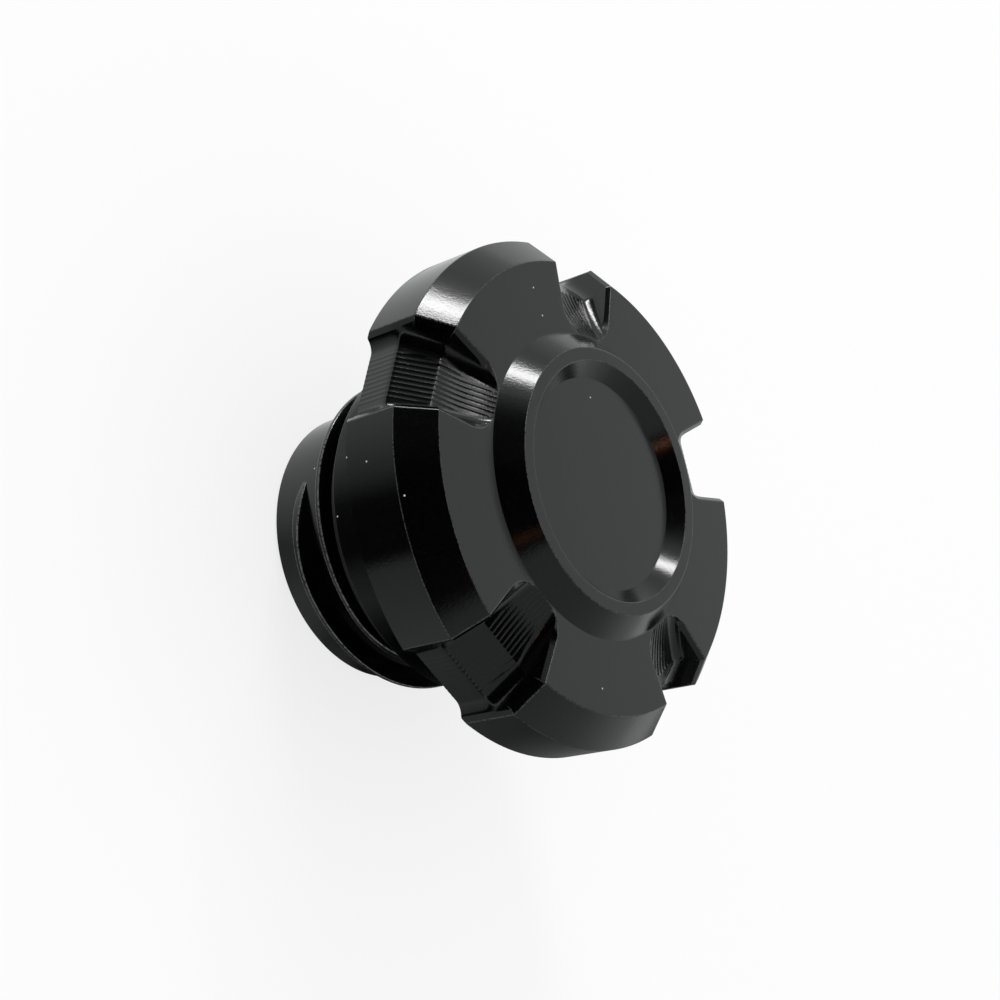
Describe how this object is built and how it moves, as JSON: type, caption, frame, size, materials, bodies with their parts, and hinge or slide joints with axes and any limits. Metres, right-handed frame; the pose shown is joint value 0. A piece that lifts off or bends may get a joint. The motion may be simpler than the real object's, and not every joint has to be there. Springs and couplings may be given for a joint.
{
  "type": "fuel cap",
  "caption": "Screw-in fuel cap milled from black anodised billet: lobed grip head with finger scallops, raised ring, threaded hollow neck and rubber sealing ring.",
  "frame": {"origin": "centre of the neck's end face, on the screw axis", "axes": "+Z along the screw axis, out of the filler, towards the head; +X nine degrees from the middle of a finger scallop"},
  "size_m": [0.076, 0.076, 0.0488],
  "materials": {
    "anodised": "satin black anodised, with fine turning marks",
    "seal": "matt"
  },
  "bodies": {
    "root": {"cap_body": "anodised", "seal_ring": "seal"}
  },
  "joints": []
}
